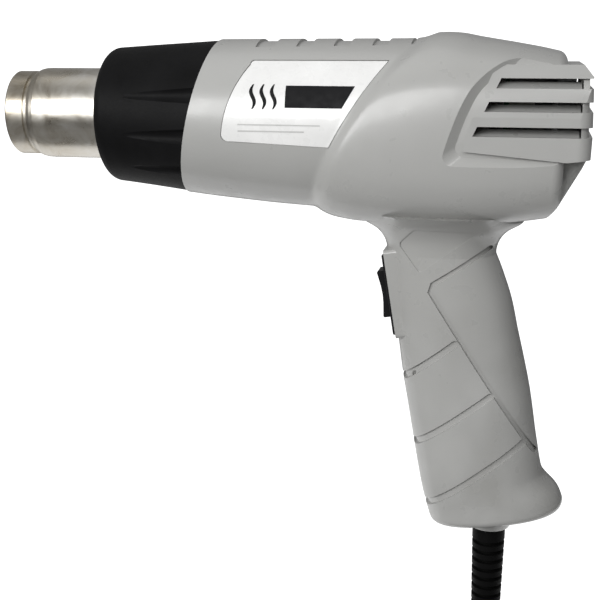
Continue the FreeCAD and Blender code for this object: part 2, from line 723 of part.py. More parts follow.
def mica_former():
    """Two crossing mica plates that carry the heating coils."""
    half = COIL_RADIUS - COIL_WIRE - TOUCH
    upright = block(HEATER_START, HEATER_END, -0.5, 0.5, -half, half)
    return upright.fuse(block(HEATER_START, HEATER_END, -half, half, -0.5, 0.5))


def heating_coil(start):
    """Wire wound round the four edges of the former."""
    corner = COIL_RADIUS + COIL_BEND * (math.sqrt(2) - 1)
    points = []
    for i in range(4 * COIL_TURNS + 1):
        angle = math.pi / 2 * i
        points.append(place(start + COIL_PITCH * i / 4, corner * math.cos(angle), corner * math.sin(angle)))
    return pipe(points, COIL_WIRE, COIL_BEND)


def heater_disc():
    """Ceramic disc behind the coils, with holes that let the air through."""
    disc = barrel_ring(HEATER_END + 1.5, HEATER_END + 4.5, TUBE_RADIUS - TUBE_WALL - TOUCH, 2.0)
    holes = []
    for i in range(8):
        angle = math.radians(45 * i + 22.5)
        centre = place(HEATER_END, 10.2 * math.cos(angle), 10.2 * math.sin(angle))
        holes.append(cylinder(centre, X_AXIS, 3.2, 8))
    return disc.cut(holes)


def thermal_cutout():
    """Round bimetal switch on the ceramic disc, with its two tags."""
    can = cylinder(place(HEATER_END + 4.5, 0, 0), X_AXIS, 4.2, 4.6)
    tags = [block(HEATER_END + 9.1, HEATER_END + 13.0, y - 0.4, y + 0.4, -1.6, 1.6) for y in (-2.2, 2.2)]
    return can.multiFuse(tags)


# ---- fan and motor ----------------------------------------------------------------
def air_duct():
    """Plastic duct from the fan to the back of the nozzle."""
    outer = [(TUBE_END, 21.8), (99.6, 21.8), (114.0, DUCT_RADIUS), (DUCT_END, DUCT_RADIUS)]
    inner = [(DUCT_END, 25.6), (114.0, 25.6), (94.0, 17.6), (TUBE_END, 17.6)]
    duct = turned(outer + inner)
    holes = [cylinder(place(104.0, y, -30), Z_AXIS, WIRE_RADIUS + 0.3, 14) for y in (-4.0, 4.0)]
    return duct.cut(holes)


def fan():
    """Axial fan: domed hub, pitched blades and the bore for the shaft."""
    hub = turned([(FAN_START, 0), (FAN_START + 0.6, 5.0), (FAN_START + 3.0, 8.4),
                  (FAN_START + 6.0, 9.2), (FAN_END, 9.2), (FAN_END, 0)])
    length = FAN_END - FAN_START - 2.5
    blade = Part.makeBox(length / math.cos(math.radians(38)), 1.3, FAN_RADIUS - 8.4,
                         V(-length / math.cos(math.radians(38)) / 2, -0.65, 8.4))
    blade.rotate(V(0, 0, 0), Z_AXIS, 38)
    blade.translate(place((FAN_START + FAN_END) / 2 + 1.0, 0, 0))
    blades = []
    for i in range(FAN_BLADES):
        turned_blade = blade.copy()
        turned_blade.rotate(place(0, 0, 0), X_AXIS, 360 / FAN_BLADES * i)
        blades.append(turned_blade)
    sweep = barrel_ring(FAN_START, FAN_END, FAN_RADIUS, 8.0)
    blades = [b.common(sweep) for b in blades]
    return hub.multiFuse(blades).cut(cylinder(place(FAN_START + 3, 0, 0), X_AXIS, SHAFT_RADIUS, 30))


def motor_bracket():
    """Spider that holds the motor in the middle of the duct."""
    rim = barrel_ring(DUCT_END - 4.0, DUCT_END - 1.0, 25.6 - TOUCH, 23.2)
    centre = barrel_ring(DUCT_END - 4.0, DUCT_END - 1.0, 12.5, 4.4)
    arms = []
    for i in range(4):
        arm = block(DUCT_END - 4.0, DUCT_END - 1.0, -2.5, 2.5, 11.0, 24.0)
        arm.rotate(place(0, 0, 0), X_AXIS, 45 + 90 * i)
        arms.append(arm)
    holes = [cylinder(place(DUCT_END - 5, 0, z), X_AXIS, 1.35, 6) for z in (-8.0, 8.0)]
    return rim.multiFuse([centre, *arms]).cut(holes)


def motor_screws():
    screws = []
    for z in (-8.0, 8.0):
        head = cylinder(place(DUCT_END - 5.6, 0, z), X_AXIS, 2.3, 1.6)
        shank = cylinder(place(DUCT_END - 5.6, 0, z), X_AXIS, 1.25, 6.0)
        screws.append(head.fuse(shank))
    return Part.makeCompound(screws)


def motor_can():
    can = turned([(MOTOR_START, 4.05), (MOTOR_START, MOTOR_RADIUS), (MOTOR_END, MOTOR_RADIUS),
                  (MOTOR_END, 16.1), (MOTOR_START + 1.4, 16.1), (MOTOR_START + 1.4, 4.05)])
    taps = [cylinder(place(MOTOR_START - 1, 0, z), X_AXIS, 1.3, 4) for z in (-8.0, 8.0)]
    return can.cut(taps)


def motor_magnets():
    shells_of_field = barrel_ring(156.0, 182.0, 16.1, 13.2)
    gap = block(150, 190, -7.0, 7.0, -20, 20)
    return shells_of_field.cut(gap)


def armature():
    """Laminated core with five winding slots."""
    core = barrel_ring(157.5, 179.5, 12.4, SHAFT_RADIUS)
    slots = []
    for i in range(5):
        slot = block(157, 180, -1.0, 1.0, 6.0, 13.0)
        pocket = cylinder(place(157, 0, 8.0), X_AXIS, 2.2, 23)
        for cutter in (slot, pocket):
            cutter.rotate(place(0, 0, 0), X_AXIS, 72 * i)
            slots.append(cutter)
    return core.cut(slots)


def windings():
    """Winding heads at both ends of the core."""
    front = turned([(154.2, 3.2), (153.6, 5.5), (154.4, 9.4), (157.5, 10.6), (157.5, 3.2)])
    rear = turned([(179.5, 3.2), (179.5, 10.6), (182.6, 9.4), (183.4, 5.5), (182.8, 3.2)])
    return Part.makeCompound([front, rear])


def commutator():
    drum = barrel_ring(184.2, 190.2, 4.6, SHAFT_RADIUS)
    cuts = []
    for i in range(5):
        cut = block(184, 191, -0.2, 0.2, 3.9, 5.0)
        cut.rotate(place(0, 0, 0), X_AXIS, 72 * i + 36)
        cuts.append(cut)
    return drum.cut(cuts)


def motor_shaft():
    return cylinder(place(FAN_START + 3.0, 0, 0), X_AXIS, SHAFT_RADIUS, 71.0)


def motor_bushes():
    bore = SHAFT_RADIUS + RUNNING
    front = barrel_ring(MOTOR_START - 2.0, MOTOR_START + 2.0, 4.0, bore)
    rear = barrel_ring(191.4, 195.4, 4.0, bore)
    return Part.makeCompound([front, rear])


def motor_cap():
    """Plastic end cap with brush slots, a bearing seat and two board posts."""
    cap = turned([(MOTOR_END, 15.0), (MOTOR_END, MOTOR_RADIUS), (193.4, MOTOR_RADIUS),
                  (193.4, 6.6), (196.0, 6.2), (196.0, 4.0), (191.4, 4.0), (191.4, 15.0)])
    posts = [cylinder(place(193.4, 0, z), X_AXIS, 2.0, BOARD_X - 193.4) for z in (-12.5, 12.5)]
    guides = []
    for side in (-1, 1):
        low, high = sorted((side * 6.0, side * 15.5))
        guides.append(block(MOTOR_END, 191.4, low, high, -3.6, 3.6))
    cap = cap.multiFuse(posts + guides)
    return cap.cut(brush_blocks(TOUCH))


def brush_blocks(play):
    """Carbon brushes; the play makes the slots that they slide in."""
    blocks = []
    for side in (-1, 1):
        low, high = sorted((side * (4.6 + 0.15 - play), side * (11.5 + play)))
        blocks.append(block(186.9 - play, 190.1 + play, low, high, -2.0 - play, 2.0 + play))
    return blocks


def circuit_board():
    board = barrel_ring(BOARD_X, BOARD_X + 1.6, 15.6, 2.5)
    return board.cut([block(BOARD_X - 1, BOARD_X + 3, 13.0, 20, -20, 20)])


def board_diodes():
    diodes = []
    for y in (-7.5, -3.0, 3.0, 7.5):
        body = cylinder(place(BOARD_X + 3.2, y, -10.5), Z_AXIS, 1.4, 5.2)
        leads = [block(BOARD_X + 1.6, BOARD_X + 3.2, y - 0.35, y + 0.35, z, z + 0.7)
                 for z in (-10.4, -6.1)]
        diodes.append(body.multiFuse(leads))
    return Part.makeCompound(diodes)


def board_capacitor():
    case = block(BOARD_X + 1.6, BOARD_X + 11.0, -5.5, 5.5, 4.2, 9.4)
    return case.makeFillet(0.8, [e for e in case.Edges if e.BoundBox.XMin > TIP + BOARD_X + 5])


# ---- switch -------------------------------------------------------------------------
def switch_case():
    """Switch housing with its bezel, the rocker's pocket and pivot holes."""
    bezel = Part.makeBox(1.7, 15.0, 33.0, V(-1.7, -7.5, -16.5))
    bezel = bezel.makeFillet(0.7, [e for e in bezel.Edges if e.BoundBox.XMax < -1.6])
    case = Part.makeBox(18.0, 11.4, 27.0, V(0, -5.7, -13.5))
    clips = []
    for side in (-1, 1):
        z = side * 13.5
        clips.append(Part.makeBox(2.0, 6.0, 0.15, V(3.5, -3.0, z if side > 0 else z - 0.15)))
    pocket = Part.makeBox(9.2, 9.2, 2 * WINDOW_HALF, V(-2, -4.6, -WINDOW_HALF))
    pivot = cylinder(V(PIVOT_DEPTH, -5.3, 0), Y_AXIS, PIVOT_RADIUS + RUNNING, 10.6)
    return on_switch(bezel.multiFuse([case, *clips]).cut([pocket, pivot]))


def switch_rocker():
    """Three-position rocker in its middle position, with finger ridges."""
    half = ROCKER_HALF
    profile = [V(2.4, 0, half - 1.0), V(-1.6, 0, half), V(-4.5, 0, half), V(-4.9, 0, half - 0.5),
               V(-4.1, 0, 3.4), V(-3.9, 0, 0), V(-4.1, 0, -3.4),
               V(-4.9, 0, 0.5 - half), V(-4.5, 0, -half), V(-1.6, 0, -half), V(2.4, 0, 1.0 - half)]
    face = Part.Face(Part.makePolygon(profile + profile[:1]))
    body = face.extrude(V(0, ROCKER_WIDTH, 0))
    body.translate(V(0, -ROCKER_WIDTH / 2, 0))
    pin = cylinder(V(PIVOT_DEPTH, -5.2, 0), Y_AXIS, PIVOT_RADIUS, 10.4)
    web = Part.makeBox(3.4, 4.0, 3.0, V(1.5, -2.0, -1.5))
    dots = []
    for z in (-6.4, 6.4):
        dots.append(cylinder(V(-5.5, 0, z), X_AXIS, 1.1, 1.2))
    return on_switch(body.multiFuse([pin, web]).cut(dots))


def switch_terminals():
    blades = []
    for z in (-9.0, 0.0, 9.0):
        for y in (-3.0, 3.0):
            blades.append(on_switch(Part.makeBox(7.0, 0.8, 4.8, V(18.0, y - 0.4, z - 2.4))))
    return Part.makeCompound(blades)


# ---- wiring inside the handle ----------------------------------------------------------
def cord_clamp():
    """Bar that presses the cord into its cradle."""
    bar = block(186, 213, 0, 6.5, CLAMP_Z, CLAMP_Z + CLAMP_HEIGHT)
    bar = bar.cut(cylinder(place(CORD_X, 0, CLAMP_Z - 1), Z_AXIS, CORD_RADIUS, 12))
    middle = CLAMP_Z + CLAMP_HEIGHT / 2
    return bar.cut([cylinder(place(x, -1, middle), Y_AXIS, SCREW_RADIUS + 0.2, 9) for x in CLAMP_SCREWS])


def clamp_screws():
    middle = CLAMP_Z + CLAMP_HEIGHT / 2
    return Part.makeCompound([screw(x, middle, 6.5, -7.5) for x in CLAMP_SCREWS])


def terminal_block():
    """Two-way screw terminal block."""
    body = block(185, 203, -12.6, -3.0, BLOCK_Z, BLOCK_Z + BLOCK_HEIGHT)
    bores = []
    for x in (189.5, 198.5):
        bores.append(cylinder(place(x, -8.0, BLOCK_Z - 1), Z_AXIS, 2.0, BLOCK_HEIGHT + 2))
        for z in (BLOCK_Z + 3.0, BLOCK_Z + 9.0):
            bores.append(cylinder(place(x, -6.5, z), Y_AXIS, 1.5, 5))
    return body.cut(bores)


def terminal_screws():
    screws = []
    for x in (189.5, 198.5):
        for z in (BLOCK_Z + 3.0, BLOCK_Z + 9.0):
            grub = cylinder(place(x, -6.3, z), Y_AXIS, 1.4, 2.6)
            screws.append(grub.cut(block(x - 1.6, x + 1.6, -4.3, -3, z - 0.25, z + 0.25)))
    return Part.makeCompound(screws)


def mains_wires():
    """Two cores from the end of the cord's sheath to the terminal block."""
    wires = []
    for side, x in ((-1, 189.5), (1, 198.5)):
        start = CORD_X + 1.4 * side
        wires.append(pipe([place(start, 0, CLAMP_Z + CLAMP_HEIGHT + 2.5), place(start, 0, -133.5),
                           place(x, -8.0, -130.5), place(x, -8.0, BLOCK_Z + 4.5)], WIRE_RADIUS, 1.9))
    return Part.makeCompound(wires)


def switch_wires():
    """From the terminal block to the switch."""
    wires = []
    for x, y in ((189.5, -3.0), (198.5, 3.0)):
        wires.append(pipe([place(x, -8.0, BLOCK_Z + 8.0), place(x, -8.0, -104.0),
                           place(192.0, y, -88.0), place(184.6, y, -79.7)], WIRE_RADIUS, 4.0))
    return Part.makeCompound(wires)


def heater_leads():
    """From the switch past the motor and through the duct to the heater."""
    leads = []
    for y in (-3.0, 3.0):
        way = y / 3.0 * 4.0
        leads.append(pipe([place(183.4, y, -71.6), place(188.0, y, -68.0), place(186.0, way, -46.0),
                           place(160.0, way, -28.7), place(104.0, way, -28.7),
                           place(104.0, way, -13.0), place(83.6, way, -11.0)], WIRE_RADIUS, 3.4))
    return Part.makeCompound(leads)


def motor_leads():
    """From the switch, outside the heater's leads, up to the motor's circuit board."""
    leads = []
    for y, way in ((-3.0, -7.4), (3.0, 7.4)):
        leads.append(pipe([place(182.2, y, -62.4), place(186.5, way, -60.5), place(198.0, way, -36.0),
                           place(BOARD_X + 0.8, way, -14.4)], WIRE_RADIUS, 3.0))
    return Part.makeCompound(leads)


# ---- strain relief and cord -----------------------------------------------------------
def strain_relief():
    """Flanged, ribbed sleeve; its wall tapers towards the free end."""
    top = BOSS_END - 6.0
    flange_top = SEAT_Z + FLANGE_THICKNESS
    profile = [(flange_top, CORD_RADIUS), (flange_top, RELIEF_FLANGE), (SEAT_Z, RELIEF_FLANGE),
               (SEAT_Z, 6.8), (top, 6.75)]
    count = round((top - RELIEF_END) / RELIEF_RIB_STEP)
    for i in range(count):
        start = top - i * RELIEF_RIB_STEP
        outer = 6.7 - 0.08 * i
        core = 5.2 - 0.1 * i
        profile += [(start, core), (start - 1.7, core - 0.03), (start - 1.7, outer),
                    (start - RELIEF_RIB_STEP, outer - 0.05)]
    profile[-1] = (RELIEF_END, profile[-1][1])
    profile.append((RELIEF_END, CORD_RADIUS))
    return turned(profile, (CORD_X, 0), Z_AXIS)


def cord_inner():
    """Sheathed end of the cord, through the strain relief to the clamp."""
    top = CLAMP_Z + CLAMP_HEIGHT + 2.5
    return cylinder(place(CORD_X, 0, RELIEF_END), Z_AXIS, CORD_RADIUS, top - RELIEF_END)


def hank_section(part, half_x, half_y):
    """Section of the hank at a part of its length from the top."""
    z = HANK_TOP - part * HANK_LENGTH
    return [place(CORD_X + half_x * u, half_y * v, z) for u, v in superellipse(2.6, 16)]


def cord_hank():
    """Outer shape of the put-away cord, drawn in at the middle by its tie."""
    end = (14.0, 21.0)
    full = (25.5, 24.2)
    parts = [(0.0, end), (0.07, (23.0, 23.8)), (0.14, full), (0.30, (24.5, 23.4)), (0.46, HANK_WAIST)]
    parts += [(1 - part, size) for part, size in reversed(parts)]
    return loft([closed_curve(hank_section(part, *size)) for part, size in parts])


def hank_tie():
    """Strap round the middle of the hank."""
    width = 10.0
    bands = []
    for grow in (1.6, 0.2):
        outline = hank_section(0.5, HANK_WAIST[0] + grow, HANK_WAIST[1] + grow)
        band = Part.Face(closed_curve(outline)).extrude(V(0, 0, width))
        band.translate(V(0, 0, -width / 2))
        bands.append(band)
    return bands[0].cut(bands[1])


def plug():
    """Moulded mains plug: bend sleeve, grip and round front."""
    top = TAIL_ROUTE[-1][2]
    x = TAIL_ROUTE[-1][0]
    profile = [(top, 0), (top, 5.2), (top - 11, 6.2), (top - 13, 11.0), (top - 22, 13.2),
               (top - 29, 14.0), (top - 31, 18.6), (top - PLUG_LENGTH + 1, 18.6),
               (top - PLUG_LENGTH, 17.8), (top - PLUG_LENGTH, 0)]
    body = turned(profile, (x, 0), Z_AXIS)
    return body.cut(pair(block(x - 30, x + 30, 13.6, 30, top - 50, top - 29)))


def plug_pins():
    top = TAIL_ROUTE[-1][2]
    x = TAIL_ROUTE[-1][0]
    pins = []
    for side in (-1, 1):
        pin = cylinder(place(x + 9.5 * side, 0, top - PLUG_LENGTH - 19), Z_AXIS, 2.4, 19)
        tip = [e for e in pin.Edges if e.BoundBox.ZMax < AXIS + top - PLUG_LENGTH - 18]
        pins.append(pin.makeFillet(1.6, tip))
    return Part.makeCompound(pins)


def export(parts):
    os.makedirs("parts", exist_ok=True)
    for name, shape in parts.items():
        shape.exportStep(f"parts/{name}.step")


left_label = label_plate()
export(shells())
export({
    "label_left": left_label,
    "label_right": mirrored(left_label),
    "shell_screws": Part.makeCompound([screw(x, z, HEAD_SEAT, SCREW_TIP) for x, z in SCREWS]),
    "nose_collar": nose_collar(),
    "nozzle_tube": nozzle_tube(),
    "mica_sleeve": mica_sleeve(),
    "mica_former": mica_former(),
    "heating_coil_front": heating_coil(HEATER_START + 2.5),
    "heating_coil_rear": heating_coil(HEATER_START + 33.0),
    "heater_disc": heater_disc(),
    "thermal_cutout": thermal_cutout(),
    "air_duct": air_duct(),
    "fan": fan(),
    "motor_bracket": motor_bracket(),
    "motor_screws": motor_screws(),
    "motor_can": motor_can(),
    "motor_magnets": motor_magnets(),
    "motor_armature": armature(),
    "motor_windings": windings(),
    "motor_commutator": commutator(),
    "motor_shaft": motor_shaft(),
    "motor_bushes": motor_bushes(),
    "motor_cap": motor_cap(),
    "motor_brushes": Part.makeCompound(brush_blocks(0.0)),
    "circuit_board": circuit_board(),
    "board_diodes": board_diodes(),
    "board_capacitor": board_capacitor(),
    "switch_case": switch_case(),
    "switch_rocker": switch_rocker(),
    "switch_terminals": switch_terminals(),
    "cord_clamp": cord_clamp(),
    "clamp_screws": clamp_screws(),
    "terminal_block": terminal_block(),
    "terminal_screws": terminal_screws(),
    "mains_wires": mains_wires(),
    "switch_wires": switch_wires(),
    "heater_leads": heater_leads(),
    "motor_leads": motor_leads(),
    "strain_relief": strain_relief(),
    "cord_inner": cord_inner(),
    "cord_lead": cord_tube([place(*p) for p in LEAD_ROUTE], CORD_RADIUS),
    "cord_hank": cord_hank(),
    "hank_tie": hank_tie(),
    "cord_tail": cord_tube([place(*p) for p in TAIL_ROUTE], CORD_RADIUS),
    "plug_body": plug(),
    "plug_pins": plug_pins(),
})
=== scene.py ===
"""Heat gun: looks, cord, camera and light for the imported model.

Metres, in the model's own frame: the origin is the middle of the grip, +Z is up,
the nozzle points along -X and the two shells meet on the plane Y = 0. Places marked
mm are from the nozzle's mouth and the barrel's axis, and at() turns them into metres.
"""
import json
import math

import bmesh
import bpy
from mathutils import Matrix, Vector
from mathutils.bvhtree import BVHTree


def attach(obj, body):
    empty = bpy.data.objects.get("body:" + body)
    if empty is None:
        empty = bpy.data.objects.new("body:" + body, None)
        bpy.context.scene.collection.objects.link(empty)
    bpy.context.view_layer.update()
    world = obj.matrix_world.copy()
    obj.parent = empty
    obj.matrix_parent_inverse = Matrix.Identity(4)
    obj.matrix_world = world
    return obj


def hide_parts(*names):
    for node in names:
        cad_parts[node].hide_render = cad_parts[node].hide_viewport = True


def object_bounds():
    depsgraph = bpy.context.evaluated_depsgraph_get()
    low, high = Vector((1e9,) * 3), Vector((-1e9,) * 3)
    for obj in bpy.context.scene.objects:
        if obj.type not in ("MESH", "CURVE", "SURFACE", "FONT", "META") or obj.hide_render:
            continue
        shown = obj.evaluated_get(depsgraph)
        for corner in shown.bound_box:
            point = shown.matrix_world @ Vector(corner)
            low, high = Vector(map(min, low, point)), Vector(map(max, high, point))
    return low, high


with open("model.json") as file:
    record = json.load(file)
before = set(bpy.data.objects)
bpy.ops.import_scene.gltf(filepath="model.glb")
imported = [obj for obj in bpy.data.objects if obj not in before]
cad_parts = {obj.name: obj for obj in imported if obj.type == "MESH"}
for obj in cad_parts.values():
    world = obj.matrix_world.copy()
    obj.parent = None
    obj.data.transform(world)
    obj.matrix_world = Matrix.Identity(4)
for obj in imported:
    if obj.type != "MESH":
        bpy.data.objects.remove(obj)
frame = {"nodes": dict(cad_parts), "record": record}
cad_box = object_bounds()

# ---- driving values ---------------------------------------------------------
MM = 0.001
TIP = -185.0             # X of the nozzle's mouth, mm
AXIS = 100.0             # Z of the barrel's axis, mm

CAMERA_PLACE = Vector((0.0259, -0.4330, 0.1311))
CAMERA_AZIMUTH = math.radians(12.0)
CAMERA_PITCH = math.radians(13.5)
LENS = 66.0              # mm
SENSOR_WIDTH = 36.0      # mm

CORD_THICKNESS = 7.0     # mm
CORD_RADIUS = CORD_THICKNESS / 2
CORD_DIAMETER = CORD_THICKNESS * MM
CORD_X = 199.7           # mm, the cord hangs down from here
RELIEF_END = -208.0      # mm, lower end of the strain relief
HANK_TOP = -249.0        # mm
HANK_BOTTOM = -387.0     # mm
HANK_MIDDLE = (HANK_TOP + HANK_BOTTOM) / 2
PLUG_TOP = -418.0        # mm
HANK_TURNS = 5
MIDDLE_TURN = (HANK_TURNS - 0.5) / 2    # progress through the turns, halfway across the hank
LAYER_PITCH = 7.4        # mm, spacing of the turns across the hank
MIDDLE_GAP = 3.5         # mm, extra room in the middle for the cord's two ends

FOLD_RADIUS = 3 * CORD_THICKNESS
FOLD_STEP = 45.0         # degrees between a fold's control points
FOLD_ANGLES = tuple(FOLD_STEP * step for step in (-1.5, -0.5, 0.5, 1.5))    # from its crest
FOLD_SHIFT = 0.25 / (FOLD_ANGLES[-1] - FOLD_ANGLES[0])      # turns of progress per degree
RUN_REACH = 30.0         # mm above and below the tie, where a run is as wide as its folds
RUN_INSET = 0.5          # mm, how far a run's control points lie inside the fold's radius
WAIST_REACH = 7.0        # mm above and below the middle of the tie
WAIST_INNER = 7.4        # mm from the cord's line to the inner column of runs under the tie
WAIST_OUTER = 14.2       # mm, the same for the outer column
WAIST_CENTRE = 3.7       # mm from the middle to each of the cord's two ends under the tie
WAIST_SCALE = 0.52       # spacing across the hank under the tie, as a share of LAYER_PITCH

INK_LIFT = 0.00012       # of the print above the name plate
OUTSIDE = 0.06           # |Y| clear of the whole tool, where rays towards a name plate start
PLATE_Y = 0.03           # |Y| of the print where such a ray misses the plate
WAVE_PLACES = (107.0, 111.0, 115.0)     # mm, X of the heat symbol's strokes
WAVE_LOW = 4.6           # mm
WAVE_HIGH = 13.6         # mm
WAVE_WIDTH = 1.6         # mm, at the middle of a stroke
WAVE_TAPER = 0.3         # width at a stroke's ends, as a share of WAVE_WIDTH
WAVE_SWAY = 0.8          # mm
WAVE_STEPS = 28
BAND_LEFT = 119.5        # mm
BAND_RIGHT = 141.0       # mm, along its lower edge
BAND_SLANT = 4.5         # mm, how much further right its upper edge ends
BAND_LOW = 5.2           # mm
BAND_HIGH = 13.2         # mm
LINE_LEFT = 101.5        # mm
LINE_HEIGHT = 0.5        # mm
LINES = ((-1.4, 133.0), (-3.8, 127.0))  # mm, lower edge and right end of each grey line

FLOOR_RADIUS = 30.0
FLOOR_GAP = 0.004        # from the plug's pins down to the floor
FLOOR_TONE = 0.30        # floor's own grey, all that reflections and bounced light see of it
FLOOR_GLOW = 1.2         # light that the floor adds to its grey for the camera alone
SKY_STRENGTH = 0.30      # sky's brightness for all but the camera
SKY_GLOW = 1.4           # sky's brightness to the camera


def at(x, y, z):
    """Point at x from the mouth, y across and z from the barrel's axis, all in mm."""
    return Vector((TIP + x, y, AXIS + z)) * MM


# ---- camera -----------------------------------------------------------------
def add_camera():
    """Camera on the tool's left, level with the barrel's top, turned down and to the nozzle."""
    data = bpy.data.cameras.new("camera")
    data.sensor_width = SENSOR_WIDTH
    data.lens = LENS
    data.clip_start = 0.01
    camera = bpy.data.objects.new("camera", data)
    bpy.context.scene.collection.objects.link(camera)
    camera.location = CAMERA_PLACE
    flat = math.cos(CAMERA_PITCH)
    look = Vector((-math.sin(CAMERA_AZIMUTH) * flat, math.cos(CAMERA_AZIMUTH) * flat,
                   -math.sin(CAMERA_PITCH)))
    camera.rotation_euler = look.to_track_quat("-Z", "Y").to_euler()
    bpy.context.scene.camera = camera


# ---- node materials ---------------------------------------------------------
class Surface:
    """A Principled material with short helpers for its node pattern."""

    def __init__(self, name, color, roughness, metallic=0.0, **settings):
        self.material = bpy.data.materials.new(name)
        self.material.use_nodes = True
        self.nodes = self.material.node_tree.nodes
        self.links = self.material.node_tree.links
        self.shader = self.nodes["Principled BSDF"]
        self.place = self.nodes.new("ShaderNodeTexCoord").outputs["Object"]
        self.shader.inputs["Base Color"].default_value = (*color, 1.0)
        self.shader.inputs["Roughness"].default_value = roughness
        self.shader.inputs["Metallic"].default_value = metallic
        for socket, value in settings.items():
            self.shader.inputs[socket.replace("_", " ")].default_value = value

    def stretched(self, scale):
        """Object coordinates multiplied by a scale for each axis."""
        mapping = self.nodes.new("ShaderNodeMapping")
        mapping.inputs["Scale"].default_value = scale
        self.links.new(self.place, mapping.inputs["Vector"])
        return mapping.outputs["Vector"]

    def noise(self, scale, detail=3.0, roughness=0.5, place=None, warp=0.0):
        """Noise value, with this many features per metre."""
        node = self.nodes.new("ShaderNodeTexNoise")
        node.inputs["Scale"].default_value = scale
        node.inputs["Detail"].default_value = detail
        node.inputs["Roughness"].default_value = roughness
        node.inputs["Distortion"].default_value = warp
        self.links.new(place or self.place, node.inputs["Vector"])
        return node.outputs["Fac"]

    def spread(self, value, low, high, start=0.3, end=0.7):
        """The value's range start..end stretched to low..high."""
        node = self.nodes.new("ShaderNodeMapRange")
        node.inputs["From Min"].default_value = start
        node.inputs["From Max"].default_value = end
        node.inputs["To Min"].default_value = low
        node.inputs["To Max"].default_value = high
        self.links.new(value, node.inputs["Value"])
        return node.outputs["Result"]

    def math(self, operation, first, second):
        """Result of an operation on two values, each a number or a node's output."""
        node = self.nodes.new("ShaderNodeMath")
        node.operation = operation
        for socket, value in zip(node.inputs, (first, second)):
            if isinstance(value, (int, float)):
                socket.default_value = value
            else:
                self.links.new(value, socket)
        return node.outputs["Value"]

    def ramp(self, value, *stops):
        """Colour from (position, colour) stops."""
        node = self.nodes.new("ShaderNodeValToRGB")
        elements = node.color_ramp.elements
        while len(elements) < len(stops):
            elements.new(0.5)
        for element, (position, color) in zip(elements, stops):
            element.position = position
            element.color = (*color, 1.0)
        self.links.new(value, node.inputs["Fac"])
        return node.outputs["Color"]

    def along(self, axis):
        """One object coordinate: X, Y or Z."""
        node = self.nodes.new("ShaderNodeSeparateXYZ")
        self.links.new(self.place, node.inputs["Vector"])
        return node.outputs[axis]

    def color(self, output):
        """Let a node's output set the colour."""
        self.links.new(output, self.shader.inputs["Base Color"])

    def rough(self, output):
        """Let a node's output set the roughness."""
        self.links.new(output, self.shader.inputs["Roughness"])

    def bump(self, height, depth, strength):
        """Relief of this depth in metres; a second call adds to the first."""
        node = self.nodes.new("ShaderNodeBump")
        node.inputs["Strength"].default_value = strength
        node.inputs["Distance"].default_value = depth
        self.links.new(height, node.inputs["Height"])
        normal = self.shader.inputs["Normal"]
        if normal.links:
            self.links.new(normal.links[0].from_socket, node.inputs["Normal"])
        self.links.new(node.outputs["Normal"], normal)


def tinted(color, factor):
    """The colour made darker or lighter."""
    return tuple(channel * factor for channel in color)


def shell_plastic():
    """Light grey moulded plastic: satin, fine grain, flow marks that are plainest on the grip."""
    surface = Surface("shell_plastic", (0.42, 0.42, 0.405), 0.36, Specular_IOR_Level=0.5,
                      Coat_Weight=0.25, Coat_Roughness=0.18)
    flow = surface.noise(24.0, detail=2.0, roughness=0.4, warp=0.7)
    below = surface.spread(surface.along("Z"), 1.0, 0.15, start=-70.0 * MM, end=60.0 * MM)
    faded = surface.math("MULTIPLY", surface.math("SUBTRACT", flow, 0.5), below)
    marks = surface.math("ADD", faded, 0.5)
    surface.color(surface.ramp(marks, (0.30, (0.345, 0.343, 0.328)), (0.5, (0.405, 0.405, 0.393)),
                               (0.70, (0.475, 0.475, 0.462))))
    satin = surface.spread(surface.noise(140.0, detail=5.0), 0.26, 0.38)
    dulled = surface.math("MULTIPLY", surface.math("SUBTRACT", marks, 0.5), 0.35)
    surface.rough(surface.math("ADD", satin, dulled))
    surface.bump(surface.noise(5200.0, detail=2.0), depth=0.00003, strength=0.35)
    surface.bump(surface.noise(60.0, detail=2.0), depth=0.0003, strength=0.12)
    return surface.material


def label_white():
    """White printed foil under a clear gloss."""
    surface = Surface("label_white", (0.82, 0.82, 0.81), 0.28, Coat_Weight=0.5, Coat_Roughness=0.08)
    surface.color(surface.ramp(surface.noise(70.0, detail=3.0), (0.35, (0.80, 0.80, 0.79)),
                               (0.65, (0.86, 0.86, 0.85))))
    surface.rough(surface.spread(surface.noise(300.0), 0.24, 0.34))
    surface.bump(surface.noise(900.0, detail=2.0), depth=0.00002, strength=0.3)
    return surface.material


def label_ink():
    """Matt black ink."""
    surface = Surface("label_ink", (0.008, 0.008, 0.009), 0.55, Specular_IOR_Level=0.12)
    surface.rough(surface.spread(surface.noise(400.0), 0.45, 0.65))
    return surface.material


def label_grey():
    """Grey ink under the plate's gloss."""
    surface = Surface("label_grey", (0.55, 0.55, 0.54), 0.3, Coat_Weight=0.5, Coat_Roughness=0.08)
    surface.rough(surface.spread(surface.noise(400.0), 0.24, 0.38))
    return surface.material


def grained_black(name, color, roughness, grain=2600.0, depth=0.00006):
    """Moulded black plastic or rubber with a spark-eroded grain."""
    surface = Surface(name, color, roughness, Specular_IOR_Level=0.07)
    grit = surface.noise(grain, detail=3.0, roughness=0.6)
    surface.color(surface.ramp(surface.noise(80.0, detail=4.0), (0.3, tinted(color, 0.8)),
                               (0.7, tinted(color, 1.35))))
    surface.rough(surface.spread(grit, roughness - 0.08, roughness + 0.12))
    surface.bump(grit, depth, strength=0.6)
    return surface.material


